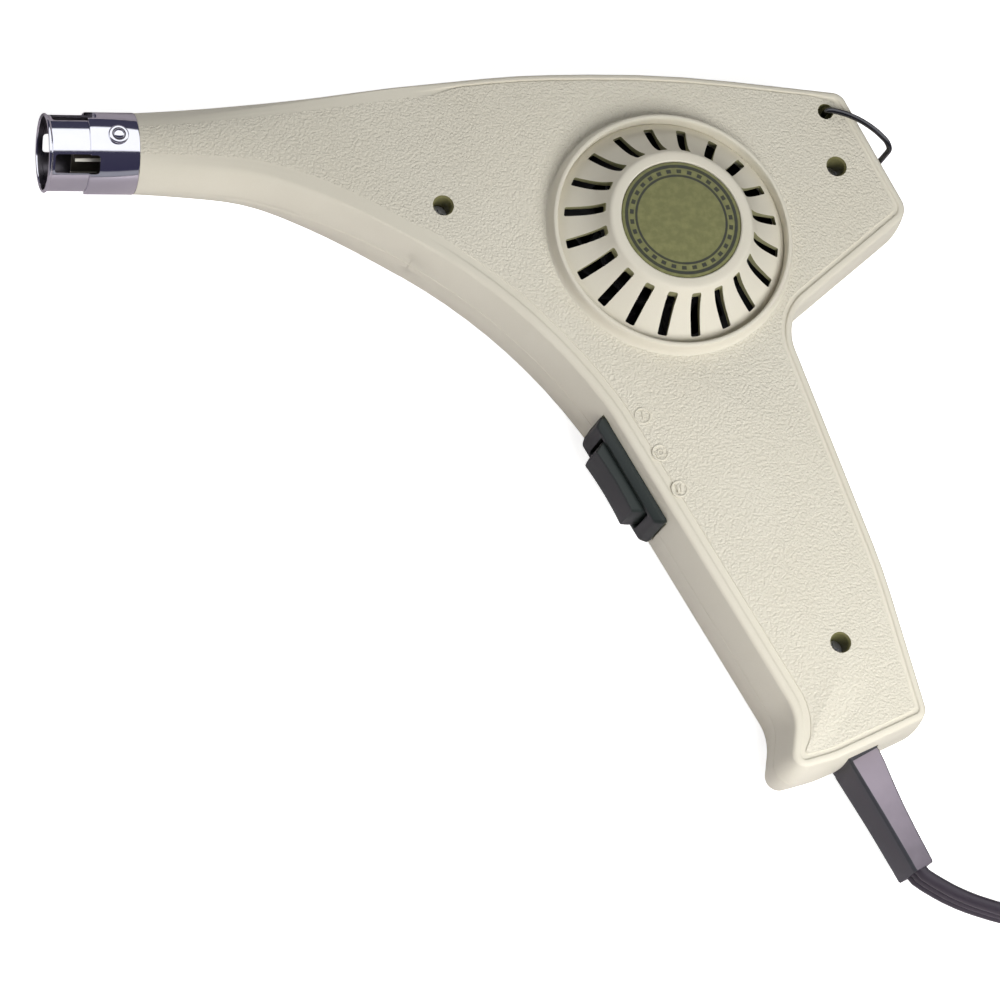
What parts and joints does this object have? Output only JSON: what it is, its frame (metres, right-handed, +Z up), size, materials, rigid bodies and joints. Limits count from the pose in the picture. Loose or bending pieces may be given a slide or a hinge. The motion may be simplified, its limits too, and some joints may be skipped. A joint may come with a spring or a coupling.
{
  "type": "embossing heat tool",
  "caption": "Pistol-shaped embossing heat tool with a slender metal nozzle, slotted fan dome, rocker switch on the grip, hanging bail and flat mains cord put away in a coil.",
  "frame": {"origin": "on the surface the tool lies on, under the middle of the tool's bounding box without its strain relief, cord and plug", "axes": "+X from the nozzle back along the barrel to the rear of the casing, +Y from the grip up to the barrel's top, +Z up from the side the tool lies on to the intake dome"},
  "size_m": [0.3692, 0.2277, 0.0383],
  "materials": {
    "casing": "pebbled, satin",
    "badge": "printed, satin",
    "nozzle_metal": "bright plated",
    "steel": "plain",
    "mica": "mica sheet",
    "resistance_wire": "oxidised",
    "black_plastic": "moulded",
    "magnet": "sintered",
    "brass": "plain",
    "copper": "enamelled",
    "board": "circuit board",
    "switch_plastic": "moulded, satin",
    "screw": "zinc plated",
    "cord_rubber": "satin",
    "relief_rubber": "satin",
    "white_sleeve": "woven glass sleeve",
    "black_sleeve": "insulation",
    "tie": "paper"
  },
  "bodies": {
    "casing": {"left_shell": "casing", "right_shell": "casing", "intake_grille": "casing", "hub_plate": "badge", "nozzle_band": "nozzle_metal", "nozzle_button": "nozzle_metal", "nozzle_sleeve": "nozzle_metal", "heater_shield": "steel", "mica_liner": "mica", "mica_former": "mica", "heater_coil": "resistance_wire", "thermal_cutout": "steel", "fan_cover": "black_plastic", "motor_can": "steel", "motor_end_cap": "black_plastic", "motor_magnets": "magnet", "motor_brushes": "magnet", "motor_bushes": "brass", "rectifier_board": "board", "switch_housing": "switch_plastic", "contact_plate": "copper", "switch_terminals": "brass", "shell_screws": "screw", "cord_clamp": "black_plastic", "clamp_screws": "screw", "mains_leads": "cord_rubber", "heater_leads": "white_sleeve", "motor_leads": "black_sleeve", "strain_relief": "relief_rubber", "cord": "cord_rubber", "cord_coil": "cord_rubber", "cord_tie": "tie", "plug_body": "relief_rubber", "plug_pins": "brass"},
    "rotor": {"fan_wheel": "black_plastic", "motor_shaft": "steel", "armature_core": "steel", "armature_winding": "copper", "commutator": "copper"},
    "rocker": {"switch_rocker": "switch_plastic"},
    "bail": {"hanging_bail": "screw"}
  },
  "joints": [
    {"name": "fan_spin", "type": "hinge", "parent": "casing", "child": "rotor", "pos_m": [0.04613, 0.04838, 0.0156], "axis": [0, 0, 1], "continuous": true},
    {"name": "rocker_tilt", "type": "hinge", "parent": "casing", "child": "rocker", "pos_m": [0.03219, -0.01296, 0.0156], "axis": [0, 0, 1], "range_deg": [-11, 11]},
    {"name": "bail_swing", "type": "hinge", "parent": "casing", "child": "bail", "pos_m": [0.09213, 0.08288, 0.0156], "axis": [0, 0, 1], "range_deg": [-3, 180]}
  ]
}
